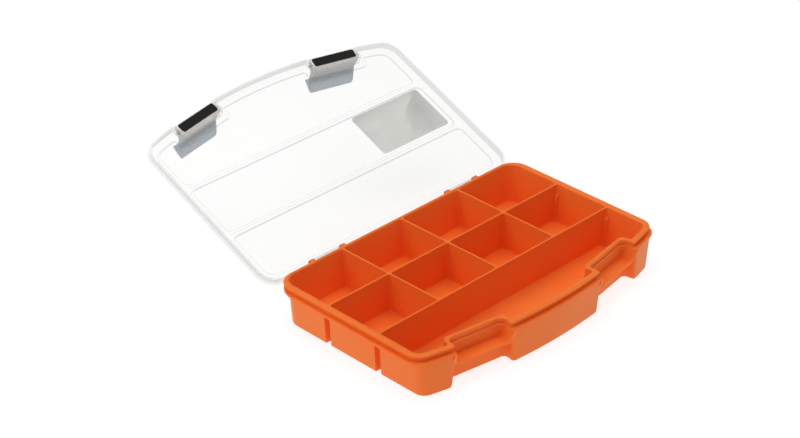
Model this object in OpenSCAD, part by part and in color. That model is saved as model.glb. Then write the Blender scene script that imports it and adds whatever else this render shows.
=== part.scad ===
// Small-parts organiser: a shallow tray with fixed dividers, a clear hinged lid and two flip-over latches.
// Drawn as it stands open on a table. Millimetres, +Z up, X along the hinge, +Y towards the hinge.
// Origin: middle of the tray's underside.

/* [Tray] */
// Width over the tray's raised lip
lip_w = 254; // [229:1:284]
// Height of the tray from the table to the top of the lip
tray_h = 34; // [31:0.5:40]
// Radius of the bowed front edge
bow_r = 440; // [360:10:700]
// Corner radius of the lip in plan
corner_r = 12; // [10:0.5:16]
// Thickness of the side and rear walls
wall_t = 2.8; // [2.4:0.1:3.2]
// Floor thickness
floor_t = 2.2; // [1.5:0.1:3]
// Thickness of the fixed dividers
div_t = 1.5; // [1.2:0.1:2]
// Distance from one cross divider to the next
cell_w = 61.3; // [56:0.1:63]
// Distance between the two long dividers
row_d = 50.4; // [46:0.1:54]

/* [Lid] */
// Thickness of the clear lid
lid_t = 1.6; // [1.2:0.1:2]
// Height of the three raised fields
field_h = 1.2; // [0.6:0.1:1.6]
// Width of the valleys between the fields
valley_w = 3; // [2:0.5:5]
// How far the lid stands above its closed position, in degrees
lid_open = 156.6; // [0:0.2:156.6]

/* [Latches] */
// Length of each latch along the front edge
latch_l = 43; // [38:0.5:43]
// Length of the flared finger lip
flare_l = 15; // [10:0.5:16]
// Angle of the flared finger lip from the plate
flare_a = 25; // [15:1:28]
// How far each latch is swung over from its closed position, in degrees
latch_open = 175; // [0:1:175]

/* [Hinges] */
// Radius of the hinge pins
pin_r = 1.1; // [0.9:0.05:1.2]
// Radius of the latch pins
lpin_r = 1.0; // [0.8:0.05:1.1]
// Running clearance round the pins
run_c = 0.05; // [0.02:0.01:0.09]

/* [Hidden] */

y_back = 78.5;               // outer face of the lip at the back
y_front = -78.8;             // the bowed front line, on the centre line
lip_f = 3.4;                 // outer face of the lip and the front wall, beyond the bowed line
y_a = 28;                    // rear long divider
y_b = y_a - row_d;           // front long divider
lip_t = 4.5;                 // lip thickness on the sides
lip_tf = 4.2;                // at the front
lip_tb = 2.6;                // at the back, and round the latch recesses
fl_out = 2.2;                // flange beyond the lip
fl_back = 1.4;               // the same at the back, where the lid turns
lid_out = 3.0;               // lid beyond the lip, sides and front
lid_back = 3.5;              // the same at the back
fl_top = tray_h - 5;         // top of the flange
fl_t = 1.8;                  // flange thickness
wall_in = 3.6;               // side wall set in from the lip
wall_inb = 2.5;              // rear wall
cav_in = wall_in + wall_t;   // inner face of the side wall
cav_inb = wall_inb + wall_t + 0.7; // inner face of the rear wall
groove_w = 5.4;              // grooves outside the side walls, in line with the long dividers
groove_d = 4.4;
boss_t = 1.5;                // thickness of the wall round them
side_x = lip_w / 2 - corner_r; // where the sides meet the front and the back
div_top = tray_h - 0.6;      // top of the dividers

hinge_y = 81.3;              // hinge axis
hinge_z = 29.5;
ear_x = [56, 87];            // hinge ears, both sides
ear_w = 4;
ear_r = 3;
knuckle_r = 2.5;

latch_x = 71.5;              // latch pivot, lid closed
latch_y = -73.1;
latch_z = tray_h - 1.5;
beta = asin(latch_x / bow_r);// tangent of the bow at the latch
rec_hw = 24.2;               // half width of the tray's latch recess
rec_back = 8.5;              // set-back lip, behind the pivot
ledge_z = tray_h - 16;       // top of the catch ledge
ledge_f = -1.7;              // its front edge
ledge_t = 1.7;

lid_in = tray_h + 0.4;       // inner face of the closed lid
skirt_z = fl_top + 0.3;      // bottom of the lid's skirt
pock_hw = 22;                // half width of the lid's latch pocket
pock_back = 6.3;             // its back face, behind the pivot

orange = [0.90, 0.36, 0.10];
clear = [0.92, 0.94, 0.95, 0.45];
frost = [0.80, 0.84, 0.88, 0.8];

// Plan outline: straight back and sides, bowed front, round corners.
// d insets the sides from the lip, db the back, df the front from the bowed line; negative values grow it.
function outline(d, db, df, nb = 20, nc = 6) =
    let (hw = lip_w / 2 - d, big = bow_r - df, r = corner_r - d, cy = y_front + bow_r,
         fx = hw - r, fy = cy - sqrt(pow(big - r, 2) - fx * fx),
         a0 = atan2(fy - cy, fx), yb = y_back - db - r)
    concat(
        [for (i = [0:nb]) let (a = -180 - a0 + i * (180 + 2 * a0) / nb) [big * cos(a), cy + big * sin(a)]],
        [for (i = [1:nc]) let (a = a0 - i * a0 / nc) [fx + r * cos(a), fy + r * sin(a)]],
        [for (i = [0:nc]) let (a = 90 * i / nc) [fx + r * cos(a), yb + r * sin(a)]],
        [for (i = [0:nc]) let (a = 90 + 90 * i / nc) [-fx + r * cos(a), yb + r * sin(a)]],
        [for (i = [0:nc - 1]) let (a = 180 - i * a0 / nc) [-fx + r * cos(a), fy + r * sin(a)]]);

// Plan frame of a latch: x along the bow, y inwards, origin on its pivot
module latch_plan(s) { translate([s * latch_x, latch_y]) rotate([0, 0, s * beta]) children(); }

// Outline with the two latch recesses taken out; hw and back size the recess
module notched(d, db, df, hw, back) {
    difference() {
        polygon(outline(d, db, df));
        for (s = [-1, 1]) latch_plan(s) translate([-hw, -60]) square([2 * hw, 60 + back]);
    }
}

module x_cyl(x0, x1, y, z, r) { translate([x0, y, z]) rotate([0, 90, 0]) cylinder(h = x1 - x0, r = r, $fn = 48); }

// Plan regions: one side with its corners, or what lies between the sides
module side(s) { translate([s > 0 ? side_x : -side_x - 60, -120]) square([60, 240]); }
module between(s) { translate([-side_x, s > 0 ? 0 : -120]) square([2 * side_x, 120]); }

// Plan of the tray below the flange, solid, and the ring of its wall
module tray_plan() { notched(wall_in, wall_inb, -lip_f, rec_hw, rec_back); }
module cavity_plan() { notched(cav_in, cav_inb, lip_tf - lip_f, rec_hw + lip_tb, rec_back + lip_tb); }
module wall_plan() { difference() { tray_plan(); cavity_plan(); } }

// Grooves outside, in line with the long dividers, and the bosses that close them inside
module grooves() {
    for (s = [-1, 1], y = [y_a, y_b]) translate([s * (lip_w / 2 - wall_in) - groove_d, y - groove_w / 2, -1]) cube([2 * groove_d, groove_w, 26]);
}
module boss_plan() {
    for (s = [-1, 1], y = [y_a, y_b])
        translate([s > 0 ? lip_w / 2 - wall_in - groove_d - boss_t : -lip_w / 2 + wall_in, y - groove_w / 2 - boss_t])
            square([groove_d + boss_t, groove_w + 2 * boss_t]);
}

module tray_floor() {
    color(orange) difference() {
        linear_extrude(floor_t) tray_plan();
        grooves();
    }
}
module tray_wall_side(s) {
    color(orange) difference() {
        translate([0, 0, floor_t]) linear_extrude(fl_top - fl_t - floor_t) intersection() {
            union() { wall_plan(); boss_plan(); }
            side(s);
        }
        grooves();
    }
}
module tray_wall_left() { tray_wall_side(-1); }
module tray_wall_right() { tray_wall_side(1); }
module tray_wall_rear() {
    color(orange) translate([0, 0, floor_t]) linear_extrude(fl_top - fl_t - floor_t) intersection() { wall_plan(); between(1); }
}
module tray_wall_front() {
    color(orange) translate([0, 0, floor_t]) linear_extrude(fl_top - fl_t - floor_t) intersection() { wall_plan(); between(-1); }
}

// The flange, on which the closed lid's skirt stands
module tray_flange() {
    color(orange) difference() {
        translate([0, 0, fl_top - fl_t]) linear_extrude(fl_t) difference() {
            notched(-fl_out, -fl_back, -lip_f - fl_out, rec_hw, rec_back);
            cavity_plan();
        }
        for (s = [-1, 1]) {
            // cut away behind the lid's knuckle, and where the hinge ears stand
            translate([s * (ear_x[0] + ear_x[1]) / 2 - 13.5, y_back, fl_top - fl_t - 0.5]) cube([27, 6, fl_t + 1]);
            for (x = ear_x) translate([s * x - ear_w / 2, y_back - wall_inb, fl_top - fl_t - 0.5]) cube([ear_w, 20, fl_t + 1]);
        }
    }
}
module tray_lip() {
    color(orange) translate([0, 0, fl_top]) linear_extrude(tray_h - fl_top) difference() {
        notched(0, 0, -lip_f, rec_hw, rec_back);
        notched(lip_t, lip_tb, lip_tf - lip_f, rec_hw + lip_tb, rec_back + lip_tb);
    }
}

// Catch ledge across the recess
module catch_ledge(s) {
    color(orange) translate([0, 0, ledge_z - ledge_t]) linear_extrude(ledge_t)
        latch_plan(s) translate([-rec_hw, ledge_f]) square([2 * rec_hw, rec_back - ledge_f]);
}
module catch_ledge_left() { catch_ledge(-1); }
module catch_ledge_right() { catch_ledge(1); }

module hinge_ears() {
    color(orange) difference() {
        for (s = [-1, 1], x = ear_x) union() {
            x_cyl(s * x - ear_w / 2, s * x + ear_w / 2, hinge_y, hinge_z, ear_r);
            translate([s * x - ear_w / 2, y_back - wall_inb, 20]) cube([ear_w, hinge_y - 0.3 - y_back + wall_inb, fl_top - 20]);
        }
        translate([-120, y_back - 10, fl_top]) cube([240, 10, 10]);
        for (s = [-1, 1]) x_cyl(s > 0 ? 50 : -93, s > 0 ? 93 : -50, hinge_y, hinge_z, pin_r);
    }
}

// A long divider runs from side wall to side wall and reaches the lip at its top
module row_divider(y) {
    color(orange) {
        w0 = lip_w / 2 - wall_in - groove_d - boss_t;
        w1 = lip_w / 2 - cav_in;
        w2 = lip_w / 2 - lip_t;
        z1 = fl_top - fl_t;
        translate([0, y - div_t / 2, 0]) rotate([90, 0, 0]) translate([0, 0, -div_t]) linear_extrude(div_t)
            polygon([[-w0, floor_t], [w0, floor_t], [w0, z1], [w1, z1], [w1, fl_top], [w2, fl_top], [w2, div_top],
                [-w2, div_top], [-w2, fl_top], [-w1, fl_top], [-w1, z1], [-w0, z1]]);
    }
}
module row_divider_rear() { row_divider(y_a); }
module row_divider_front() { row_divider(y_b); }

// A cross divider has a piece in the rear row and one in the middle row
module cross_divider(x) {
    color(orange) {
        y1 = y_back - cav_inb;
        y2 = y_back - lip_tb;
        ya = y_a + div_t / 2;
        translate([x - div_t / 2, 0, 0]) rotate([90, 0, 90]) linear_extrude(div_t)
            polygon([[ya, floor_t], [y1, floor_t], [y1, fl_top], [y2, fl_top], [y2, div_top], [ya, div_top]]);
        translate([x - div_t / 2, y_b + div_t / 2, floor_t]) cube([div_t, row_d - div_t, div_top - floor_t]);
    }
}
module cross_divider_left() { cross_divider(-cell_w); }
module cross_divider_centre() { cross_divider(0); }
module cross_divider_right() { cross_divider(cell_w); }

module hinge_pin(s) {
    color([0.75, 0.76, 0.78])
        x_cyl(s > 0 ? ear_x[0] - ear_w / 2 : -ear_x[1] - ear_w / 2, s > 0 ? ear_x[1] + ear_w / 2 : -ear_x[0] + ear_w / 2, hinge_y, hinge_z, pin_r);
}
module hinge_pin_left() { hinge_pin(-1); }
module hinge_pin_right() { hinge_pin(1); }

// Swings what is drawn closed to the open lid
module opened() {
    translate([0, hinge_y, hinge_z]) rotate([-lid_open, 0, 0]) translate([0, -hinge_y, -hinge_z]) children();
}
// Frame of a latch with the lid closed, origin on its pivot
module latch_at(s) { translate([s * latch_x, latch_y, latch_z]) rotate([0, 0, s * beta]) children(); }

// Raised fields of the lid, inset by g
module fields(g) {
    difference() {
        notched(5.5 + g, 4 + g, 0.5 + g, pock_hw + 5 + g, pock_back + 5 + g);
        for (y = [y_a, y_b]) translate([-150, y - valley_w / 2 - g]) square([300, valley_w + 2 * g]);
    }
}

// Panel with three raised fields, hollow behind them
module lid_panel() {
    color(clear) opened() difference() {
        translate([0, 0, lid_in]) union() {
            linear_extrude(lid_t) notched(-lid_out, -lid_back, -lip_f - lid_out, pock_hw, pock_back);
            translate([0, 0, lid_t - 0.1]) linear_extrude(field_h + 0.1) fields(0);
        }
        translate([0, 0, lid_in - 0.1]) linear_extrude(field_h + 0.1) fields(1.2);
        lid_clearance();
    }
}

// What the hinge ears, the pins and the running clearance take out of the lid
module lid_clearance() {
    for (s = [-1, 1]) {
        x_cyl(s > 0 ? 57 : -86, s > 0 ? 86 : -57, hinge_y, hinge_z, pin_r + run_c);
        for (x = ear_x) x_cyl(s * x - ear_w / 2 - 0.4, s * x + ear_w / 2 + 0.4, hinge_y, hinge_z, ear_r + 0.4);
        latch_at(s) x_cyl(-30, 30, 0, 0, lpin_r);
    }
}
module skirt_plan() {
    difference() {
        notched(-lid_out, -lid_back, -lip_f - lid_out, pock_hw, pock_back);
        notched(-lid_out + lid_t, -lid_back + lid_t, -lip_f - lid_out + lid_t, pock_hw + lid_t, pock_back + lid_t);
    }
}
module lid_skirt_side(s) {
    color(clear) opened() translate([0, 0, skirt_z]) linear_extrude(lid_in - skirt_z) intersection() { skirt_plan(); side(s); }
}
module lid_skirt_left() { lid_skirt_side(-1); }
module lid_skirt_right() { lid_skirt_side(1); }
module lid_skirt_rear() {
    color(clear) opened() difference() {
        union() {
            translate([0, 0, skirt_z]) linear_extrude(lid_in - skirt_z) intersection() { skirt_plan(); between(1); }
            for (s = [-1, 1]) x_cyl(s * (ear_x[0] + ear_x[1]) / 2 - 13.1, s * (ear_x[0] + ear_x[1]) / 2 + 13.1, hinge_y, hinge_z, knuckle_r);
        }
        lid_clearance();
    }
}
module lid_skirt_front() {
    color(clear) opened() difference() {
        translate([0, 0, skirt_z]) linear_extrude(lid_in - skirt_z) intersection() { skirt_plan(); between(-1); }
        lid_clearance();
    }
}

module lid_label() {
    color([0.78, 0.79, 0.76]) opened() translate([81.5, (y_a + y_b) / 2 - 2, lid_in + lid_t + field_h]) linear_extrude(0.3) union() {
        square([73 - 6, 42], center = true);
        square([73, 42 - 6], center = true);
        for (x = [-1, 1], y = [-1, 1]) translate([x * 33.5, y * 18]) circle(r = 3, $fn = 32);
    }
}

module latch_pin(s) {
    color([0.75, 0.76, 0.78]) opened() latch_at(s) x_cyl(-pock_hw - lid_t, pock_hw + lid_t, 0, 0, lpin_r);
}
module latch_pin_left() { latch_pin(-1); }
module latch_pin_right() { latch_pin(1); }

// A latch in its own frame: flange on top, plate in front, flared finger lip, hook and pin barrel
module latch_body() {
    ft = tan(flare_a);
    fx = flare_l * sin(flare_a);
    fz = flare_l * cos(flare_a);
    bend = -9.1;
    difference() {
        union() {
            translate([-latch_l / 2, 0, 0]) rotate([90, 0, 90]) linear_extrude(latch_l) polygon([
                [5, 1.4], [-2.8, 1.4], [-2.8, bend], [-2.8 - (-16.5 - bend) * -ft, -16.5], [-0.4, -16.5], [-0.4, -17.4],
                [-2.8 - (20.4 + bend) * ft, -20.4], [-2.8 - fx, bend - fz], [-4.4 - fx, bend - fz], [-4.4, bend], [-4.4, 3], [5, 3]]);
            x_cyl(-latch_l / 2, latch_l / 2, 0, 0, 2.2);
            // end gussets
            for (s = [-1, 1]) translate([s > 0 ? latch_l / 2 - 1.5 : -latch_l / 2, 0, 0]) rotate([90, 0, 90]) linear_extrude(1.5)
                polygon([[5, 2], [4.4, 0.4], [-1.5, -4.5], [-3.2, bend], [-3.6, bend], [-3.6, 2]]);
        }
        x_cyl(-30, 30, 0, 0, lpin_r + run_c);
        translate([-20.2, -3.5, 2.4]) cube([40.4, 7.8, 2]);
    }
}
module latch(s) { color(frost) opened() latch_at(s) rotate([-latch_open, 0, 0]) latch_body(); }
module latch_left() { latch(-1); }
module latch_right() { latch(1); }

// Ribbed dark insert in the top of a latch
module grip(s) {
    color([0.10, 0.10, 0.10]) opened() latch_at(s) rotate([-latch_open, 0, 0]) difference() {
        translate([-20.2, -3.5, 2.4]) cube([40.4, 7.8, 1.1]);
        for (i = [-2:2]) translate([-19.2, 0.4 + i * 1.3 - 0.3, 3.2]) cube([38.4, 0.6, 1]);
    }
}
module latch_grip_left() { grip(-1); }
module latch_grip_right() { grip(1); }

tray_floor();
tray_wall_left();
tray_wall_right();
tray_wall_rear();
tray_wall_front();
tray_flange();
tray_lip();
catch_ledge_left();
catch_ledge_right();
hinge_ears();
row_divider_rear();
row_divider_front();
cross_divider_left();
cross_divider_centre();
cross_divider_right();
hinge_pin_left();
hinge_pin_right();
lid_panel();
lid_skirt_left();
lid_skirt_right();
lid_skirt_rear();
lid_skirt_front();
lid_label();
latch_pin_left();
latch_pin_right();
latch_left();
latch_right();
latch_grip_left();
latch_grip_right();
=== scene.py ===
from math import asin, atan2, cos, pi, radians, sin, sqrt, tan

import bmesh
import bpy
from mathutils import Matrix, Vector


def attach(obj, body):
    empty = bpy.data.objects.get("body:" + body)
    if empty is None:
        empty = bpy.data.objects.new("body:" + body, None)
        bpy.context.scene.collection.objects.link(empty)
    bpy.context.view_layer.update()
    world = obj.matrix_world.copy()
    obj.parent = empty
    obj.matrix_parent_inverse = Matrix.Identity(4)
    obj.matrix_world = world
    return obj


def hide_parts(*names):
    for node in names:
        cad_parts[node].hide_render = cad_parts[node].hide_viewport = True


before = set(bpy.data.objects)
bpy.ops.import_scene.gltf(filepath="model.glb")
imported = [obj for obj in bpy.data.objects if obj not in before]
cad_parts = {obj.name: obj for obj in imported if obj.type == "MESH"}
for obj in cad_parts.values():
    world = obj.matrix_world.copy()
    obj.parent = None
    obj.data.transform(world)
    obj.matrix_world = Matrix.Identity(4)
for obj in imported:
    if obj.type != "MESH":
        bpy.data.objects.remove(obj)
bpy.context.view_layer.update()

MM = 0.001
scene = bpy.context.scene

# ---------------------------------------------------------------- shared dimensions, in mm, as in the CAD
CY = 361.2  # centre of the bowed front
BOW = 440.0
Y_BACK = 78.5
Y_A, Y_B, CELL = 28.0, -22.4, 61.3
HINGE_Y, HINGE_Z = 81.3, 29.5
EAR_X = (56.0, 87.0)
LATCH_X, LATCH_Y, LATCH_Z = 71.5, -73.1, 32.5
BETA = asin(LATCH_X / BOW)
OPEN = radians(156.6)
FLIP = radians(175.0)

OPENED = (
    Matrix.Translation((0, HINGE_Y * MM, HINGE_Z * MM))
    @ Matrix.Rotation(-OPEN, 4, "X")
    @ Matrix.Translation((0, -HINGE_Y * MM, -HINGE_Z * MM))
)


def latch_frame(s):
    """Frame of a latch on the open lid, origin on its pivot."""
    return (
        OPENED
        @ Matrix.Translation((s * LATCH_X * MM, LATCH_Y * MM, LATCH_Z * MM))
        @ Matrix.Rotation(s * BETA, 4, "Z")
        @ Matrix.Rotation(-FLIP, 4, "X")
    )


# ---------------------------------------------------------------- plan curves
def fillet(poly, radii, segs=6):
    """Rounds the corners that have a radius; None keeps a vertex. The count doesn't depend on the radii."""
    out = []
    n = len(poly)
    for i, (p, r) in enumerate(zip(poly, radii)):
        if r is None:
            out.append(tuple(p))
            continue
        p = Vector(p)
        a, b = Vector(poly[i - 1]) - p, Vector(poly[(i + 1) % n]) - p
        la, lb = a.length, b.length
        a, b = a / la, b / lb
        ang = a.angle(b)
        t = min(max(r, 0.02) / tan(ang / 2), 0.48 * la, 0.48 * lb)
        r = t * tan(ang / 2)
        c = p + (a + b).normalized() * (r / sin(ang / 2))
        p0, p1 = p + a * t, p + b * t
        a0 = atan2(p0.y - c.y, p0.x - c.x)
        a1 = atan2(p1.y - c.y, p1.x - c.x)
        d = (a1 - a0 + pi) % (2 * pi) - pi
        for k in range(segs + 1):
            w = a0 + d * k / segs
            out.append((c.x + r * cos(w), c.y + r * sin(w)))
    return out


def local(s, x, y):
    """A point of a latch's plan frame: x along the bow, y inwards."""
    ex, ey = cos(s * BETA), sin(s * BETA)
    return (s * LATCH_X + x * ex - y * ey, LATCH_Y + x * ey + y * ex)


def on_bow(s, x, d):
    """Where the line x of a latch's plan frame meets the front at inset d."""
    ox, oy = local(s, x, 0)
    ux, uy = -sin(s * BETA), cos(s * BETA)
    oy -= CY
    b = ox * ux + oy * uy
    c = ox * ox + oy * oy - (BOW - d) ** 2
    t = -b - sqrt(b * b - c)
    return (ox + t * ux, oy + CY + t * uy)


def ring(d, side, rc, yback, rback, notch=None, gap=5.0):
    """Plan outline, anticlockwise from the left end of the front. d is the inset of the bowed front, side the x of the
    sides, rc and rback the radii of the front and back corners, notch = (half width, back, outer radius, inner radius)."""
    big = BOW - d
    fx = side - rc
    fy = CY - sqrt((big - rc) ** 2 - fx * fx)
    a0 = atan2(fy - CY, fx)
    xt = big * cos(a0)
    pts, rad = [], []

    def run(x0, x1, n):
        for k in range(n + 1):
            x = x0 + (x1 - x0) * k / n
            pts.append((x, CY - sqrt(big * big - x * x)))
            rad.append(None)

    if notch is None:
        run(-xt, xt, 56)
    else:
        hw, nb, ro, ri = notch
        left = [on_bow(-1, -hw, d), local(-1, -hw, nb), local(-1, hw, nb), on_bow(-1, hw, d)]
        right = [on_bow(1, -hw, d), local(1, -hw, nb), local(1, hw, nb), on_bow(1, hw, d)]
        run(-xt, left[0][0] - gap, 5)
        pts += left
        rad += [ro, ri, ri, ro]
        run(left[3][0] + gap, right[0][0] - gap, 26)
        pts += right
        rad += [ro, ri, ri, ro]
        run(right[3][0] + gap, xt, 5)
    pts = fillet(pts, rad, 7)
    nc = 9
    for k in range(1, nc + 1):
        a = a0 - a0 * k / nc
        pts.append((fx + rc * cos(a), fy + rc * sin(a)))
    for k in range(nc + 1):
        a = pi / 2 * k / nc
        pts.append((side - rback + rback * cos(a), yback - rback + rback * sin(a)))
    for k in range(nc + 1):
        a = pi / 2 + pi / 2 * k / nc
        pts.append((-side + rback + rback * cos(a), yback - rback + rback * sin(a)))
    for k in range(nc):
        a = pi - a0 * k / nc
        pts.append((-fx + rc * cos(a), fy + rc * sin(a)))
    return pts


def rect(x0, x1, y0, y1, radii, segs=7):
    """Rounded rectangle, anticlockwise from the corner x0 y0."""
    pts = [(x0, y0), (x1, y0), (x1, y1), (x0, y1)]
    return fillet(pts, list(radii), segs)


# ---------------------------------------------------------------- mesh helpers
def finish_bm(bm, name):
    bmesh.ops.remove_doubles(bm, verts=bm.verts, dist=2e-6)
    bmesh.ops.dissolve_degenerate(bm, edges=bm.edges, dist=1e-7)
    bmesh.ops.recalc_face_normals(bm, faces=bm.faces)
    me = bpy.data.meshes.new(name)
    bm.to_mesh(me)
    bm.free()
    o = bpy.data.objects.new(name, me)
    scene.collection.objects.link(o)
    return o


def loft(name, levels, matrix=None):
    """A closed solid through rings of equal count. levels is [(points, z)] in mm."""
    bm = bmesh.new()
    rows = []
    for pts, z in levels:
        rows.append([bm.verts.new((x * MM, y * MM, z * MM)) for x, y in pts])
    n = len(rows[0])
    for a, b in zip(rows, rows[1:]):
        for i in range(n):
            j = (i + 1) % n
            bm.faces.new((a[i], a[j], b[j], b[i]))
    bm.faces.new(list(reversed(rows[0])))
    bm.faces.new(rows[-1])
    if matrix is not None:
        bmesh.ops.transform(bm, matrix=matrix, verts=bm.verts)
    return finish_bm(bm, name)


def inset(poly, d):
    """Polygon (anticlockwise) moved inwards by d, along the mean of its edges' normals."""
    n = len(poly)
    out = []
    for i in range(n):
        p, a, b = Vector(poly[i]), Vector(poly[i - 1]), Vector(poly[(i + 1) % n])
        e0, e1 = p - a, b - p
        if e0.length < 1e-6:
            e0 = e1
        if e1.length < 1e-6:
            e1 = e0
        n0 = Vector((-e0.y, e0.x)).normalized()
        n1 = Vector((-e1.y, e1.x)).normalized()
        m = n0 + n1
        m = n0 if m.length < 1e-6 else m.normalized()
        k = max(0.35, m.dot(n0))
        out.append(tuple(p + m * (d / k)))
    return out


def prism_x(name, profile, x0, x1, bevel=0.3, matrix=None, steps=3):
    """A profile of (y, z) points swept along x, its end edges rounded."""
    area = sum(
        p[0] * q[1] - q[0] * p[1] for p, q in zip(profile, profile[1:] + profile[:1])
    )
    if area < 0:
        profile = profile[::-1]
    # from the x0 end inwards: inset bevel at the face, none a bevel in
    ends = [(x0 + bevel * (1 - cos(pi / 2 * k / steps)), bevel * (1 - sin(pi / 2 * k / steps))) for k in range(steps + 1)]
    rows = ends + [(x1 - (x - x0), i) for x, i in reversed(ends)]
    bm = bmesh.new()
    made = []
    for x, i in rows:
        pts = inset(profile, i) if i else profile
        made.append([bm.verts.new((x * MM, p[0] * MM, p[1] * MM)) for p in pts])
    n = len(profile)
    for a, b in zip(made, made[1:]):
        for i in range(n):
            j = (i + 1) % n
            bm.faces.new((a[i], a[j], b[j], b[i]))
    bm.faces.new(list(reversed(made[0])))
    bm.faces.new(made[-1])
    if matrix is not None:
        bmesh.ops.transform(bm, matrix=matrix, verts=bm.verts)
    return finish_bm(bm, name)


def pad_prism(name, profile, half, radius, bevel, matrix=None):
    """A profile of (y, z) points swept along x, with corners of that radius in plan and its end edges rounded."""
    ys = [p[0] for p in profile]
    mid, reach = (min(ys) + max(ys)) / 2, (max(ys) - min(ys)) / 2
    rows = []
    for k in range(9):
        a = pi / 2 * k / 8
        rows.append((half - radius * (1 - sin(a)), (reach - radius * (1 - cos(a))) / reach))
    rows = [(-x, f) for x, f in reversed(rows)] + rows
    bm = bmesh.new()
    made = []
    for x, f in rows:
        low = bevel * (1 - sqrt(max(0.0, 1 - max(0.0, (abs(x) - half + bevel) / bevel) ** 2)))
        made.append([bm.verts.new((x * MM, (mid + (y - mid) * f) * MM, (z - low * (z > 2.9)) * MM)) for y, z in profile])
    n = len(profile)
    for a, b in zip(made, made[1:]):
        for i in range(n):
            j = (i + 1) % n
            bm.faces.new((a[i], a[j], b[j], b[i]))
    bm.faces.new(list(reversed(made[0])))
    bm.faces.new(made[-1])
    if matrix is not None:
        bmesh.ops.transform(bm, matrix=matrix, verts=bm.verts)
    return finish_bm(bm, name)


def block(name, x0, x1, y0, y1, z0, z1, matrix=None):
    return loft(name, [([(x0, y0), (x1, y0), (x1, y1), (x0, y1)], z) for z in (z0, z1)], matrix)


def circle(cx, cy, r, n=32, a0=0.0):
    return [(cx + r * cos(a0 + 2 * pi * k / n), cy + r * sin(a0 + 2 * pi * k / n)) for k in range(n)]


def join(objs, name):
    """Puts the meshes of objs into one object, as separate shells."""
    bm = bmesh.new()
    for o in objs:
        bm.from_mesh(o.data)
    me = bpy.data.meshes.new(name)
    bm.to_mesh(me)
    bm.free()
    for o in objs:
        bpy.data.objects.remove(o)
    o = bpy.data.objects.new(name, me)
    scene.collection.objects.link(o)
    return o


def boolean(a, b, how, self_hits=False):
    """a becomes a (how) b, exactly. b is removed."""
    m = a.modifiers.new("b", "BOOLEAN")
    m.operation = how
    m.solver = "EXACT"
    m.use_self = self_hits
    m.object = b
    bpy.context.view_layer.update()
    dg = bpy.context.evaluated_depsgraph_get()
    me = bpy.data.meshes.new_from_object(a.evaluated_get(dg), depsgraph=dg)
    a.modifiers.clear()
    old = a.data
    a.data = me
    me.name = a.name
    bpy.data.meshes.remove(old)
    bpy.data.objects.remove(b)
    return a


def tidy(o, angle=32.0, weighted=True):
    """Welds what the boolean left, and shades smooth up to that angle."""
    bm = bmesh.new()
    bm.from_mesh(o.data)
    bmesh.ops.remove_doubles(bm, verts=bm.verts, dist=4e-6)
    bmesh.ops.dissolve_degenerate(bm, edges=bm.edges, dist=1e-6)
    loose = [v for v in bm.verts if not v.link_faces]
    bmesh.ops.delete(bm, geom=loose, context="VERTS")
    bmesh.ops.recalc_face_normals(bm, faces=bm.faces)
    bm.to_mesh(o.data)
    bm.free()
    o.data.shade_smooth()
    o.data.set_sharp_from_angle(angle=radians(angle))
    if weighted:
        m = o.modifiers.new("wn", "WEIGHTED_NORMAL")
        m.keep_sharp = True
        m.weight = 50
    return o


def place(o, body, slot, mat, *nodes):
    o.data.materials.clear()
    o.data.materials.append(mat)
    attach(o, body)
    if nodes:
        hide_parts(*nodes)
    return o


# ---------------------------------------------------------------- materials
def new_mat(name):
    m = bpy.data.materials.new(name)
    m.use_nodes = True
    m.node_tree.nodes.clear()
    return m, m.node_tree.nodes, m.node_tree.links


def node(ns, kind, **values):
    n = ns.new(kind)
    for k, v in values.items():
        if k.startswith("in_"):
            n.inputs[k[3:].replace("_", " ")].default_value = v
        else:
            setattr(n, k, v)
    return n


def noise(ns, ln, coord, scale, detail=3.0, rough=0.55, w=None):
    n = ns.new("ShaderNodeTexNoise")
    n.inputs["Scale"].default_value = scale
    n.inputs["Detail"].default_value = detail
    n.inputs["Roughness"].default_value = rough
    ln.new(coord, n.inputs["Vector"])
    return n


def ramp(ns, ln, fac, stops):
    r = ns.new("ShaderNodeValToRGB")
    e = r.color_ramp.elements
    while len(e) > 1:
        e.remove(e[-1])
    e[0].position, e[0].color = stops[0][0], (*stops[0][1], 1)
    for pos, col in stops[1:]:
        x = e.new(pos)
        x.color = (*col, 1)
    ln.new(fac, r.inputs["Fac"])
    return r


def remap(ns, ln, value, a, b, c, d):
    m = ns.new("ShaderNodeMapRange")
    m.inputs["From Min"].default_value = a
    m.inputs["From Max"].default_value = b
    m.inputs["To Min"].default_value = c
    m.inputs["To Max"].default_value = d
    ln.new(value, m.inputs["Value"])
    return m


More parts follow.
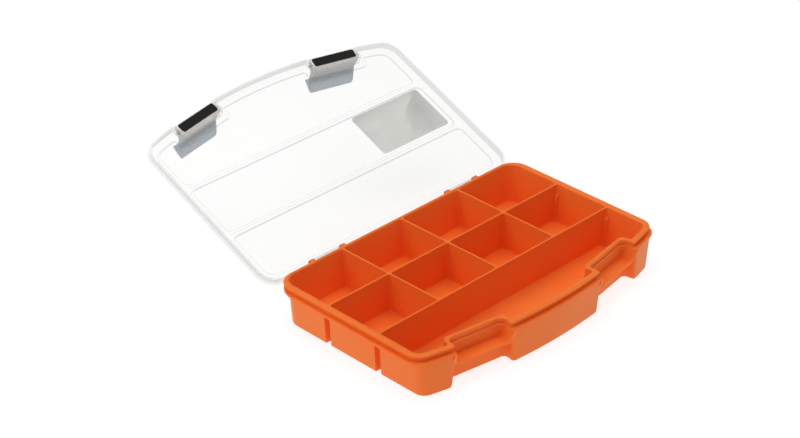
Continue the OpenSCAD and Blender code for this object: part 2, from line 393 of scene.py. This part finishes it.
def orange_plastic():
    m, ns, ln = new_mat("tray_orange")
    out = node(ns, "ShaderNodeOutputMaterial")
    bsdf = node(ns, "ShaderNodeBsdfPrincipled")
    ln.new(bsdf.outputs["BSDF"], out.inputs["Surface"])
    co = node(ns, "ShaderNodeTexCoord").outputs["Object"]
    big = noise(ns, ln, co, 9.0, 4.0, 0.5)
    col = ramp(
        ns, ln, big.outputs["Fac"],
        [(0.30, (0.955, 0.190, 0.028)), (0.55, (0.97, 0.212, 0.036)), (0.78, (0.985, 0.236, 0.046))],
    )
    # rubbed paler, in short streaks, here and there
    wear = noise(ns, ln, co, 160.0, 6.0, 0.62)
    worn = ramp(ns, ln, wear.outputs["Fac"], [(0.60, (0, 0, 0)), (0.80, (0.35, 0.35, 0.35))])
    mix = node(ns, "ShaderNodeMix", data_type="RGBA")
    mix.inputs[7].default_value = (0.92, 0.34, 0.08, 1)
    ln.new(worn.outputs["Color"], mix.inputs[0])
    ln.new(col.outputs["Color"], mix.inputs[6])
    ln.new(mix.outputs[2], bsdf.inputs["Base Color"])
    rough = remap(ns, ln, noise(ns, ln, co, 60.0, 4.0).outputs["Fac"], 0.3, 0.7, 0.34, 0.44)
    ln.new(rough.outputs["Result"], bsdf.inputs["Roughness"])
    fine = noise(ns, ln, co, 2600.0, 2.0)
    wavy = noise(ns, ln, co, 45.0, 2.0)
    b1 = node(ns, "ShaderNodeBump", in_Strength=0.10, in_Distance=0.0002)
    ln.new(fine.outputs["Fac"], b1.inputs["Height"])
    b2 = node(ns, "ShaderNodeBump", in_Strength=0.10, in_Distance=0.0015)
    ln.new(wavy.outputs["Fac"], b2.inputs["Height"])
    ln.new(b1.outputs["Normal"], b2.inputs["Normal"])
    ln.new(b2.outputs["Normal"], bsdf.inputs["Normal"])
    bsdf.inputs["IOR"].default_value = 1.5
    bsdf.inputs["Specular IOR Level"].default_value = 0.14
    bsdf.inputs["Subsurface Weight"].default_value = 0.5
    bsdf.inputs["Subsurface Radius"].default_value = (1.0, 0.22, 0.05)
    bsdf.inputs["Subsurface Scale"].default_value = 0.004
    return m


def clear_plastic():
    m, ns, ln = new_mat("lid_clear")
    out = node(ns, "ShaderNodeOutputMaterial")
    bsdf = node(ns, "ShaderNodeBsdfPrincipled")
    ln.new(bsdf.outputs["BSDF"], out.inputs["Surface"])
    co = node(ns, "ShaderNodeTexCoord").outputs["Object"]
    big = noise(ns, ln, co, 12.0, 3.0)
    col = ramp(ns, ln, big.outputs["Fac"], [(0.3, (0.78, 0.775, 0.74)), (0.7, (0.83, 0.82, 0.785))])
    # painted shade: the lid's walls, steps and edges are painted a darker grey and held less see-through; the flats
    # let most light through
    tc = node(ns, "ShaderNodeTexCoord")
    dot = node(ns, "ShaderNodeVectorMath", operation="DOT_PRODUCT")
    axis = OPENED.to_3x3() @ Vector((0, 0, 1))
    dot.inputs[1].default_value = tuple(axis)
    ln.new(tc.outputs["Normal"], dot.inputs[0])
    flat = node(ns, "ShaderNodeMath", operation="ABSOLUTE")
    ln.new(dot.outputs["Value"], flat.inputs[0])
    painted_edge_shade = remap(ns, ln, flat.outputs["Value"], 0.995, 0.80, 0.0, 1.0)
    lw = node(ns, "ShaderNodeLayerWeight", in_Blend=0.35)
    al = remap(ns, ln, lw.outputs["Facing"], 0.0, 1.0, 0.065, 0.20)
    add = node(ns, "ShaderNodeMath", operation="MULTIPLY_ADD", use_clamp=True)
    add.inputs[1].default_value = 0.15
    ln.new(painted_edge_shade.outputs["Result"], add.inputs[0])
    ln.new(al.outputs["Result"], add.inputs[2])
    ln.new(add.outputs["Value"], bsdf.inputs["Alpha"])
    # painted shade: darker grey mixed in on the walls, steps and edges
    painted_shade_mix = node(ns, "ShaderNodeMix", data_type="RGBA")
    painted_shade_mix.inputs[7].default_value = (0.52, 0.525, 0.50, 1)
    ln.new(painted_edge_shade.outputs["Result"], painted_shade_mix.inputs[0])
    ln.new(col.outputs["Color"], painted_shade_mix.inputs[6])
    ln.new(painted_shade_mix.outputs[2], bsdf.inputs["Base Color"])
    scr = noise(ns, ln, co, 300.0, 5.0, 0.6)
    rough = remap(ns, ln, scr.outputs["Fac"], 0.3, 0.75, 0.08, 0.20)
    ln.new(rough.outputs["Result"], bsdf.inputs["Roughness"])
    wavy = noise(ns, ln, co, 30.0, 2.0)
    b = node(ns, "ShaderNodeBump", in_Strength=0.06, in_Distance=0.001)
    ln.new(wavy.outputs["Fac"], b.inputs["Height"])
    ln.new(b.outputs["Normal"], bsdf.inputs["Normal"])
    bsdf.inputs["IOR"].default_value = 1.49
    return m


def label_film():
    m, ns, ln = new_mat("label_grey")
    out = node(ns, "ShaderNodeOutputMaterial")
    bsdf = node(ns, "ShaderNodeBsdfPrincipled")
    ln.new(bsdf.outputs["BSDF"], out.inputs["Surface"])
    co = node(ns, "ShaderNodeTexCoord").outputs["Object"]
    n1 = noise(ns, ln, co, 40.0, 4.0)
    col = ramp(ns, ln, n1.outputs["Fac"], [(0.3, (0.73, 0.74, 0.71)), (0.7, (0.83, 0.835, 0.805))])
    ln.new(col.outputs["Color"], bsdf.inputs["Base Color"])
    r = remap(ns, ln, noise(ns, ln, co, 200.0, 3.0).outputs["Fac"], 0.3, 0.7, 0.35, 0.5)
    ln.new(r.outputs["Result"], bsdf.inputs["Roughness"])
    b = node(ns, "ShaderNodeBump", in_Strength=0.06, in_Distance=0.0002)
    ln.new(noise(ns, ln, co, 1800.0, 2.0).outputs["Fac"], b.inputs["Height"])
    ln.new(b.outputs["Normal"], bsdf.inputs["Normal"])
    return m


def milky_plastic():
    m, ns, ln = new_mat("latch_milky")
    out = node(ns, "ShaderNodeOutputMaterial")
    bsdf = node(ns, "ShaderNodeBsdfPrincipled")
    ln.new(bsdf.outputs["BSDF"], out.inputs["Surface"])
    co = node(ns, "ShaderNodeTexCoord").outputs["Object"]
    m3 = latch_frame(1)
    z_axis = (m3.to_3x3() @ Vector((0, 0, 1))).normalized()
    z_axis = Vector((0, z_axis.y, z_axis.z)).normalized()
    dot = node(ns, "ShaderNodeVectorMath", operation="DOT_PRODUCT")
    dot.inputs[1].default_value = tuple(z_axis)
    ln.new(co, dot.inputs[0])
    at = m3.translation.dot(z_axis)
    h = remap(ns, ln, dot.outputs["Value"], at - 0.0240, at + 0.0040, 0.0, 1.0)
    # colour bands up the latch: blue-grey on the flared lip, darkest just below its bend, grey above it, lightening to
    # a painted near-white highlight on the rim round the pad
    bands_and_painted_highlight = ramp(
        ns, ln, h.outputs["Result"],
        [(0.0, (0.42, 0.51, 0.60)), (0.25, (0.34, 0.43, 0.51)), (0.46, (0.22, 0.28, 0.33)), (0.54, (0.36, 0.40, 0.42)),
         (0.60, (0.40, 0.41, 0.40)), (0.76, (0.68, 0.68, 0.65)), (0.86, (0.84, 0.83, 0.79)), (0.90, (1.0, 0.985, 0.95))],
    )
    n1 = noise(ns, ln, co, 55.0, 3.0)
    var = remap(ns, ln, n1.outputs["Fac"], 0.3, 0.7, 0.92, 1.0)
    tint = node(ns, "ShaderNodeVectorMath", operation="SCALE")
    ln.new(bands_and_painted_highlight.outputs["Color"], tint.inputs[0])
    ln.new(var.outputs["Result"], tint.inputs["Scale"])
    ln.new(tint.outputs["Vector"], bsdf.inputs["Base Color"])
    lw = node(ns, "ShaderNodeLayerWeight", in_Blend=0.3)
    al = remap(ns, ln, lw.outputs["Facing"], 0.0, 1.0, 0.66, 0.95)
    ln.new(al.outputs["Result"], bsdf.inputs["Alpha"])
    r = remap(ns, ln, noise(ns, ln, co, 220.0, 4.0).outputs["Fac"], 0.3, 0.7, 0.22, 0.36)
    ln.new(r.outputs["Result"], bsdf.inputs["Roughness"])
    b = node(ns, "ShaderNodeBump", in_Strength=0.08, in_Distance=0.001)
    ln.new(noise(ns, ln, co, 90.0, 2.0).outputs["Fac"], b.inputs["Height"])
    ln.new(b.outputs["Normal"], bsdf.inputs["Normal"])
    return m


def black_rubber():
    m, ns, ln = new_mat("grip_black")
    out = node(ns, "ShaderNodeOutputMaterial")
    bsdf = node(ns, "ShaderNodeBsdfPrincipled")
    ln.new(bsdf.outputs["BSDF"], out.inputs["Surface"])
    co = node(ns, "ShaderNodeTexCoord").outputs["Object"]
    n1 = noise(ns, ln, co, 260.0, 5.0, 0.65)
    col = ramp(ns, ln, n1.outputs["Fac"], [(0.35, (0.009, 0.008, 0.008)), (0.75, (0.026, 0.024, 0.022))])
    ln.new(col.outputs["Color"], bsdf.inputs["Base Color"])
    r = remap(ns, ln, n1.outputs["Fac"], 0.3, 0.7, 0.45, 0.65)
    ln.new(r.outputs["Result"], bsdf.inputs["Roughness"])
    bsdf.inputs["Specular IOR Level"].default_value = 0.3
    b = node(ns, "ShaderNodeBump", in_Strength=0.25, in_Distance=0.0002)
    ln.new(noise(ns, ln, co, 2400.0, 3.0).outputs["Fac"], b.inputs["Height"])
    ln.new(b.outputs["Normal"], bsdf.inputs["Normal"])
    return m


def drawn_steel():
    m, ns, ln = new_mat("pin_steel")
    out = node(ns, "ShaderNodeOutputMaterial")
    bsdf = node(ns, "ShaderNodeBsdfPrincipled")
    ln.new(bsdf.outputs["BSDF"], out.inputs["Surface"])
    co = node(ns, "ShaderNodeTexCoord").outputs["Object"]
    mp = node(ns, "ShaderNodeMapping")
    mp.inputs["Scale"].default_value = (40.0, 900.0, 900.0)
    ln.new(co, mp.inputs["Vector"])
    n1 = noise(ns, ln, mp.outputs["Vector"], 1.0, 3.0)
    col = ramp(ns, ln, n1.outputs["Fac"], [(0.3, (0.46, 0.46, 0.47)), (0.7, (0.62, 0.62, 0.63))])
    ln.new(col.outputs["Color"], bsdf.inputs["Base Color"])
    bsdf.inputs["Metallic"].default_value = 1.0
    r = remap(ns, ln, n1.outputs["Fac"], 0.3, 0.7, 0.22, 0.38)
    ln.new(r.outputs["Result"], bsdf.inputs["Roughness"])
    b = node(ns, "ShaderNodeBump", in_Strength=0.1, in_Distance=0.0001)
    ln.new(n1.outputs["Fac"], b.inputs["Height"])
    ln.new(b.outputs["Normal"], bsdf.inputs["Normal"])
    return m


ORANGE = orange_plastic()
CLEAR = clear_plastic()
LABEL = label_film()
MILKY = milky_plastic()
BLACK = black_rubber()
STEEL = drawn_steel()


# ---------------------------------------------------------------- tray
LIP_X, LIP_F = 127.0, 3.4


def wall_x(z):
    """Half width over the side walls outside."""
    return 122.3 + 1.6 * (z - 2.2) / 24.8


def tray_ring(z, x, front, back, rc, rb, hw, nb, ro, ri):
    """Outer outline of the tray: x of the sides, inset of the front, y of the back, corner radii, recess."""
    return (ring(front, x, rc, back, rb, (hw, nb, ro, ri)), z)


def wall_level(z, fil=0.0, side=0.0):
    """fil pulls the foot in, side rounds it more beside the recesses."""
    k = (z - 2.2) / 24.8
    nb = 7.2 + 0.2 * k if z < 17.2 else 9.3
    return (z, wall_x(z) - fil, -3.5 - 1.2 * k + fil, 73.6 + 2.6 * k - fil, 9.0 - fil, 12.5 + 2.5 * k - fil,
            26.0 - 1.3 * k + fil + side, nb + fil, 4.2 - 0.6 * fil, 3.6)


TRAY = [wall_level(0.0, 0.8, 1.6), wall_level(0.06, 0.5, 1.3), wall_level(0.22, 0.24, 0.95), wall_level(0.5, 0.07, 0.65),
        wall_level(0.9, 0.0, 0.42), wall_level(2.0, 0.0, 0.16), wall_level(4.2)]
TRAY += [wall_level(z) for z in (9.0, 16.7, 17.3, 22.0, 26.6)]
# flange, rounded at its edge
for z, e in ((27.0, 3.0), (27.06, 0.55), (27.2, 0.2), (27.5, 0.0), (28.4, 0.0), (28.78, 0.14), (28.94, 0.36), (29.0, 0.7)):
    TRAY.append((z, 128.5 - e, -5.7 + e * 0.9, 79.9 - min(e, 1.2), 14.1 - e, 20.4 - e, 24.2 + min(e, 0.5), 8.5 + min(e, 0.5), 2.4, 4.2))
# lip: a neck above the flange, then a bead
for z, e in ((29.0, 1.3), (29.15, 1.65), (29.5, 1.8), (31.75, 1.8), (32.1, 1.6), (32.35, 1.1), (32.55, 0.5), (32.8, 0.1),
             (33.05, 0.0), (33.35, 0.1), (33.66, 0.45), (33.87, 0.98), (34.0, 1.7)):
    k = e * 0.72
    TRAY.append((z, LIP_X - e, -LIP_F + e, 78.5 - k, 12.4 - e, 15.0 - e, 24.2 + k, 8.5 + k, 2.8, 4.6))
for z, e in ((34.0, 1.5), (33.85, 0.85), (33.62, 0.35), (33.3, 0.0)):
    k = e * 0.6
    TRAY.append((z, 121.7 + e, 1.4 - e, 75.9 + k, 7.8 + e, 10.6 + e, 26.8 - k, 11.1 - k, 2.8, 4.6))
tray = loft("tray_moulding", [tray_ring(*level) for level in TRAY])


def ledge(s):
    """Catch ledge; at both ends it sweeps up into the flange's rim."""
    m = Matrix.Translation((s * LATCH_X * MM, LATCH_Y * MM, 0)) @ Matrix.Rotation(s * BETA, 4, "Z")
    prof = fillet(
        [(11.5, 16.3), (11.5, 18.0), (-1.7, 18.0), (-1.7, 16.3)], [None, None, 0.55, 0.4], 5
    )
    pieces = [prism_x("ledge", prof, -26.4, 26.4, 0.0, m)]
    for e in (-1, 1):
        lv = []
        for k in range(13):
            z = 16.5 + 11.9 * k / 12
            a = max(0.0, min(1.0, (z - 17.7) / 9.0))
            reach = 24.75 - 4.6 * (1 - sqrt(max(0.0, 1 - (1 - a) ** 2)))
            b = max(0.0, min(1.0, (z - 17.0) / 10.4))
            front = -1.66 - 3.6 * (3 * b * b - 2 * b * b * b)
            x0, x1 = (reach, 26.9) if e > 0 else (-26.9, -reach)
            rr = [0.9, 0.1, 0.1, 0.1] if e > 0 else [0.1, 0.9, 0.1, 0.1]
            lv.append((rect(x0, x1, front, 11.4, rr, 4), z))
        pieces.append(loft("curl", lv, m))
    return pieces


for s in (-1, 1):
    for piece in ledge(s):
        tray = boolean(tray, piece, "UNION")

# hinge ears, on gussets from the wall
for s in (-1, 1):
    for x in EAR_X:
        prof = []
        for k in range(15):  # round the pin, from below to the lip
            a = radians(-58 + 160 * k / 14)
            prof.append((HINGE_Y + 3 * cos(a), HINGE_Z + 3 * sin(a)))
        prof += [(77.6, 31.6), (77.6, 27.6), (73.6, 27.6), (73.0, 18.2), (74.6, 19.2), (79.4, 23.2)]
        ear = prism_x("ear", prof, s * x - 2, s * x + 2, 0.5)
        tray = boolean(tray, ear, "UNION")

cuts = []


def wall_d(z):
    """Inset of the compartments' outer walls."""
    table = [(2.0, 6.9), (4.0, 6.75), (27.0, 4.6), (33.3, 3.45), (40.0, 3.45)]
    for (z0, a), (z1, b) in zip(table, table[1:]):
        if z <= z1:
            return a + (b - a) * (z - z0) / (z1 - z0)
    return table[-1][1]


def half_t(z):
    """Half thickness of the dividers, rounded over at their tops."""
    t = 0.75 + 0.5 * max(0.0, 33.0 - z) / 31
    for z0, off in ((33.4, 0.42), (33.3, 0.24), (33.15, 0.09), (33.0, 0.0)):
        if z >= z0 - 1e-6:
            return t - off
    return t


LEVELS = [(2.2, 1.5), (2.31, 0.93), (2.64, 0.44), (3.13, 0.11), (3.7, 0.0), (12.0, 0), (20.0, 0), (27.0, 0),
          (31.0, 0), (33.0, 0), (33.15, 0), (33.3, 0), (33.4, 0), (36.0, 0)]
edges_x = [-125.0, -CELL, 0.0, CELL, 125.0]
for row in (0, 1):
    for c in range(4):
        lv = []
        for z, ex in LEVELS:
            w, t = wall_d(z) + ex, half_t(z) + ex
            x0 = -125 + w if c == 0 else edges_x[c] + t
            x1 = 125 - w if c == 3 else edges_x[c + 1] - t
            y0 = (Y_A if row == 0 else Y_B) + t
            y1 = Y_BACK + 0.75 - w - 0.5 * max(0.0, 27 - z) / 25 if row == 0 else Y_A - t
            r = max(0.5, 1.9 - ex * 0.9)
            rr = [r, r, r, r]
            if row == 0 and c == 0:
                rr[3] = 14.3 - w
            if row == 0 and c == 3:
                rr[2] = 14.3 - w
            lv.append((rect(x0, x1, y0, y1, rr), z))
        cuts.append(loft("cell", lv))
lv = []
for z, ex in LEVELS:
    w, t = wall_d(z) + ex, half_t(z) + ex
    if z > 27:
        k = (min(z, 33.4) - 27) / 6.4
        hw, nb, f = 27.0, 11.3, 2.2 - 1.2 * k
    else:
        k = (27 - z) / 23
        hw, nb, f = 27.0 + 1.4 * k, 11.3 - 0.1 * k, 2.2 + 1.6 * k
    lv.append((ring(f + ex, 125 - w, 10.4 - w, Y_B - t, max(0.5, 1.9 - ex * 0.9), (hw + ex, nb + ex, 2.2, 5.6 + ex)), z))
cuts.append(loft("cell", lv))
tray = boolean(tray, join(cuts, "cells"), "DIFFERENCE")

# bosses inside, round the grooves
bosses = []
for s in (-1, 1):
    for y in (Y_A, Y_B):
        lv = []
        for z, e in ((1.6, 0.0), (12.0, 0.0), (23.0, 0.0), (24.8, 0.4), (25.8, 1.2), (26.3, 2.4)):
            xa, xb = wall_x(z) - 5.5 + e, wall_x(z) - 1.0
            lv.append((rect(min(s * xa, s * xb), max(s * xa, s * xb), y - 4.1, y + 4.1, [0.8] * 4, 4), z))
        bosses.append(loft("boss", lv))
tray = boolean(tray, join(bosses, "bosses"), "UNION")

cuts = []
for s in (-1, 1):
    # flange cut away behind the lid's knuckle; its corners are left square in plan
    mid = s * sum(EAR_X) / 2
    pts = fillet([(mid - 13.5, 78.52), (mid + 13.5, 78.52), (mid + 13.5, 84.5), (mid - 13.5, 84.5)], [None] * 4)
    cuts.append(loft("cut", [(pts, 26.7), (pts, 29.5)]))
    # grooves outside, in line with the long dividers
    for y in (Y_A, Y_B):
        lv = []
        for z, hw, e in ((-0.5, 2.7, 0), (2.2, 2.7, 0), (15.0, 2.7, 0), (24.0, 2.7, 0), (25.2, 2.6, 0.5), (25.9, 2.4, 1.5), (26.3, 2.1, 3.0)):
            x0, x1 = wall_x(z) - 4.1 + e, 133.0
            pts = [(s * x0, y - hw + 0.5), (s * (x0 + 0.15), y - hw + 0.15), (s * (x0 + 0.5), y - hw), (s * x1, y - hw - 0.5),
                   (s * x1, y + hw + 0.5), (s * (x0 + 0.5), y + hw), (s * (x0 + 0.15), y + hw - 0.15), (s * x0, y + hw - 0.5)]
            if s < 0:
                pts = pts[::-1]
            lv.append((pts, z))
        cuts.append(loft("cut", lv))
tray = boolean(tray, join(cuts, "cuts"), "DIFFERENCE")
cuts = []
for s in (-1, 1):
    c = [(HINGE_Y + 1.13 * cos(2 * pi * k / 32), HINGE_Z + 1.13 * sin(2 * pi * k / 32)) for k in range(32)]
    cuts.append(prism_x("bore", c, 50 if s > 0 else -93, 93 if s > 0 else -50, 0.0))
tray = boolean(tray, join(cuts, "bores"), "DIFFERENCE")
tidy(tray)
TRAY_NODES = [
    "tray_floor", "tray_wall_left", "tray_wall_right", "tray_wall_rear", "tray_wall_front", "tray_flange", "tray_lip",
    "catch_ledge_left", "catch_ledge_right", "hinge_ears", "row_divider_rear", "row_divider_front",
    "cross_divider_left", "cross_divider_centre", "cross_divider_right",
]
place(tray, "tray", "tray_plastic", ORANGE, *TRAY_NODES)


# ---------------------------------------------------------------- lid, built closed, then swung open
def lid_ring(e, z):
    """Outline of the lid, e in from its outer face."""
    r = 15.1 - e
    return (ring(-6.6 + e, 129.5 - e, r, 82.0 - e, r, (22.0 + e, 6.3 + e, 1.6, max(0.6, 3.0 + e * 0.9))), z)


lid = loft(
    "lid_moulding",
    [lid_ring(0.25, 29.3), lid_ring(0.07, 29.4), lid_ring(0.0, 29.65), lid_ring(0.03, 34.9), lid_ring(0.15, 35.4),
     lid_ring(0.45, 35.78), lid_ring(1.0, 36.0)],
)


def field(which, g, z):
    """Outline of a raised field, g further in."""
    if which == 2:
        return (ring(0.5 + g, 121.5 - g, 9.0 - g * 0.8, Y_B - 1.5 - g, 6.0 - g * 0.8, (27 + g, 11.3 + g, 4.5, 6.0)), z)
    y0, y1 = ((Y_A + 1.5, 74.5), (Y_B + 1.5, Y_A - 1.5))[which]
    r = 6.0 - g * 0.8
    rb = (9.0 if which == 0 else 6.0) - g * 0.8
    return (rect(-121.5 + g, 121.5 - g, y0 + g, y1 - g, [r, r, rb, rb], 8), z)


for i in range(3):
    up = loft(
        "up",
        [field(i, -0.85, 35.9), field(i, -0.8, 36.02), field(i, -0.4, 36.14), field(i, -0.1, 36.4), field(i, 0.15, 36.8),
         field(i, 0.45, 37.08), field(i, 0.9, 37.2)],
    )
    lid = boolean(lid, up, "UNION")
inner = loft(
    "inner", [lid_ring(1.55, 29.0), lid_ring(1.55, 33.8), lid_ring(1.67, 34.2), lid_ring(2.05, 34.4)]
)
lid = boolean(lid, inner, "DIFFERENCE")
cuts = [loft("under", [field(i, 1.0, 34.2), field(i, 1.15, 34.6), field(i, 1.25, 35.3), field(i, 1.45, 35.52), field(i, 1.9, 35.6)]) for i in range(3)]
lid = boolean(lid, join(cuts, "unders"), "DIFFERENCE")
for s in (-1, 1):
    mid = s * sum(EAR_X) / 2
    c = circle(HINGE_Y, HINGE_Z, 2.5, 40)
    lid = boolean(lid, prism_x("knuckle", c, mid - 13.1, mid + 13.1, 0.4), "UNION")
cuts = []
for s in (-1, 1):
    for x in EAR_X:
        cuts.append(prism_x("clear", circle(HINGE_Y, HINGE_Z, 3.4, 40), s * x - 2.4, s * x + 2.4, 0.0))
lid = boolean(lid, join(cuts, "clears"), "DIFFERENCE")
cuts = []
for s in (-1, 1):
    cuts.append(prism_x("bore", circle(HINGE_Y, HINGE_Z, 1.15, 32), 57 if s > 0 else -86, 86 if s > 0 else -57, 0.0))
    m = Matrix.Translation((s * LATCH_X * MM, LATCH_Y * MM, LATCH_Z * MM)) @ Matrix.Rotation(s * BETA, 4, "Z")
    cuts.append(prism_x("bore", circle(0, 0, 1.02, 24), -30, 30, 0.0, m))
lid = boolean(lid, join(cuts, "bores"), "DIFFERENCE")
tidy(lid)
lid.data.transform(OPENED)
place(lid, "lid", "lid_plastic", CLEAR, "lid_panel", "lid_skirt_left", "lid_skirt_right", "lid_skirt_rear", "lid_skirt_front")

cx, cyl, hx, hy = 81.5, 0.8, 36.5, 21.0
label = loft(
    "label_blank",
    [(rect(cx - hx + g, cx + hx - g, cyl - hy + g, cyl + hy - g, [3.2 - g] * 4, 8), z)
     for z, g in ((37.2, 0.0), (37.4, 0.0), (37.47, 0.04), (37.5, 0.12))],
)
tidy(label)
label.data.transform(OPENED)
place(label, "lid", "label_film", LABEL, "lid_label")


# ---------------------------------------------------------------- latches
def latch(s):
    name = "left" if s < 0 else "right"
    m = latch_frame(s)
    ft = tan(radians(25))
    bend = -9.1
    fx, fz = 15 * sin(radians(25)), 15 * cos(radians(25))
    prof = [
        (5.0, 3.0), (-4.4, 3.0), (-4.4, bend), (-4.4 - fx, bend - fz), (-2.8 - fx, bend - fz),
        (-2.8 - (20.4 + bend) * ft, -20.4), (-0.4, -17.4), (-0.4, -16.5), (-2.8 - (16.5 + bend) * ft, -16.5),
        (-2.8, bend), (-2.8, 1.4), (5.0, 1.4),
    ]
    prof = fillet(prof, [0.4, 1.3, 3.0, 0.5, 0.5, 0.8, 0.32, 0.32, 0.4, 2.0, 0.9, 0.4], 5)
    # finer along the flared lip, so that its lower corners can be rounded
    fine = []
    for p, q in zip(prof, prof[1:] + prof[:1]):
        fine.append(p)
        n = int(max(abs(p[0] - q[0]), abs(p[1] - q[1])) // 1.0)
        fine += [(p[0] + (q[0] - p[0]) * k / (n + 1), p[1] + (q[1] - p[1]) * k / (n + 1)) for k in range(1, n + 1)]
    body = prism_x("latch_" + name + "_moulding", fine, -21.5, 21.5, 0.22)
    low = (bend - fz) * MM
    for v in body.data.vertices:
        h = (v.co.z - low) / MM  # above the lower edge
        if h < 3.5:
            cut = 3.5 - sqrt(max(0.0, 3.5**2 - (3.5 - max(h, 0.0)) ** 2))
            v.co.x *= (21.5 - cut) / 21.5
    barrel = prism_x("barrel", circle(0, 0, 2.2, 32), -21.45, 21.45, 0.3)
    body = boolean(body, barrel, "UNION")
    for e in (-1, 1):
        g = fillet([(5.0, 2.2), (4.5, 0.3), (-1.5, -4.5), (-3.2, bend), (-3.7, bend), (-3.7, 2.2)],
                   [None, 0.6, 2.5, 0.2, None, None], 4)
        x0, x1 = (19.9, 21.42) if e > 0 else (-21.42, -19.9)
        body = boolean(body, prism_x("gusset", g, x0, x1, 0.3), "UNION")
    bore = prism_x("bore", circle(0, 0, 1.05, 24), -30, 30, 0.0)
    seat = pad_prism("seat", [(-3.5, 2.4), (4.3, 2.4), (4.3, 4.4), (-3.5, 4.4)], 20.2, 1.9, 0.01)
    body = boolean(body, join([bore, seat], "cut"), "DIFFERENCE")
    tidy(body)
    body.data.transform(m)
    place(body, "latch_" + name, "latch_plastic", MILKY, "latch_" + name)

    # grip: a pad with rounded ribs along it
    top = []
    n = 6
    for k in range(n * 8 + 1):
        y = -3.3 + 7.4 * k / (n * 8)
        ph = (k % 8) / 8
        top.append((y, 3.0 + 0.54 * abs(sin(pi * ph)) ** 0.6))
    prof = [(-3.48, 2.42)] + [(4.28, 2.42), (4.28, 3.0)] + top[::-1] + [(-3.48, 3.0)]
    pad = pad_prism("grip_" + name, prof, 20.17, 1.9, 0.5)
    tidy(pad, 50)
    pad.data.transform(m)
    place(pad, "latch_" + name, "grip_rubber", BLACK, "latch_grip_" + name)


for s in (-1, 1):
    latch(s)

for n in ("hinge_pin_left", "hinge_pin_right", "latch_pin_left", "latch_pin_right"):
    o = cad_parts[n]
    if o.data.materials:
        for sl in o.material_slots:
            sl.material = STEEL
    else:
        o.data.materials.append(STEEL)

# ---------------------------------------------------------------- floor, light, camera
bm = bmesh.new()
bmesh.ops.create_grid(bm, x_segments=1, y_segments=1, size=6.0)
floor = finish_bm(bm, "floor")
fm, ns, ln = new_mat("floor_white")
out = node(ns, "ShaderNodeOutputMaterial")
b = node(ns, "ShaderNodeBsdfPrincipled")
b.inputs["Base Color"].default_value = (0.22, 0.22, 0.22, 1)
b.inputs["Roughness"].default_value = 0.7
b.inputs["Specular IOR Level"].default_value = 0.2
b.inputs["Emission Color"].default_value = (1, 1, 1, 1)
b.inputs["Emission Strength"].default_value = 0.84
ln.new(b.outputs["BSDF"], out.inputs["Surface"])
floor.data.materials.append(fm)

world = bpy.data.worlds.new("studio")
scene.world = world
world.use_nodes = True
world.node_tree.nodes["Background"].inputs["Color"].default_value = (1, 1, 1, 1)
world.node_tree.nodes["Background"].inputs["Strength"].default_value = 0.34


def area(name, at, to, size, power):
    d = bpy.data.lights.new(name, "AREA")
    d.shape = "SQUARE"
    d.size = size
    d.energy = power
    o = bpy.data.objects.new(name, d)
    o.location = at
    o.rotation_euler = (Vector(to) - Vector(at)).to_track_quat("-Z", "Y").to_euler()
    scene.collection.objects.link(o)
    return o


area("left_softbox", (-1.3, 0.35, 1.0), (0.0, 0.05, 0.03), 1.1, 5.0)
area("top_softbox", (0.1, 0.2, 1.7), (0.0, 0.05, 0.0), 1.6, 16.0)

az, el, roll = radians(-45.2436), radians(30.7273), radians(0.0528)
back = Vector((sin(az) * cos(el), -cos(az) * cos(el), sin(el)))
right = Vector((cos(az), sin(az), 0))
up = back.cross(right)
right2 = cos(roll) * right + sin(roll) * up
up2 = -sin(roll) * right + cos(roll) * up
cd = bpy.data.cameras.new("camera")
cd.lens = 98.1449
cd.sensor_width = 36.0
cd.clip_end = 50.0
cam = bpy.data.objects.new("camera", cd)
rot = Matrix((right2, up2, back)).transposed().to_4x4()
cam.matrix_world = Matrix.Translation((-1.0032, -0.9170, 0.8717)) @ rot
scene.collection.objects.link(cam)
scene.camera = cam
scene.view_settings.view_transform = "Standard"
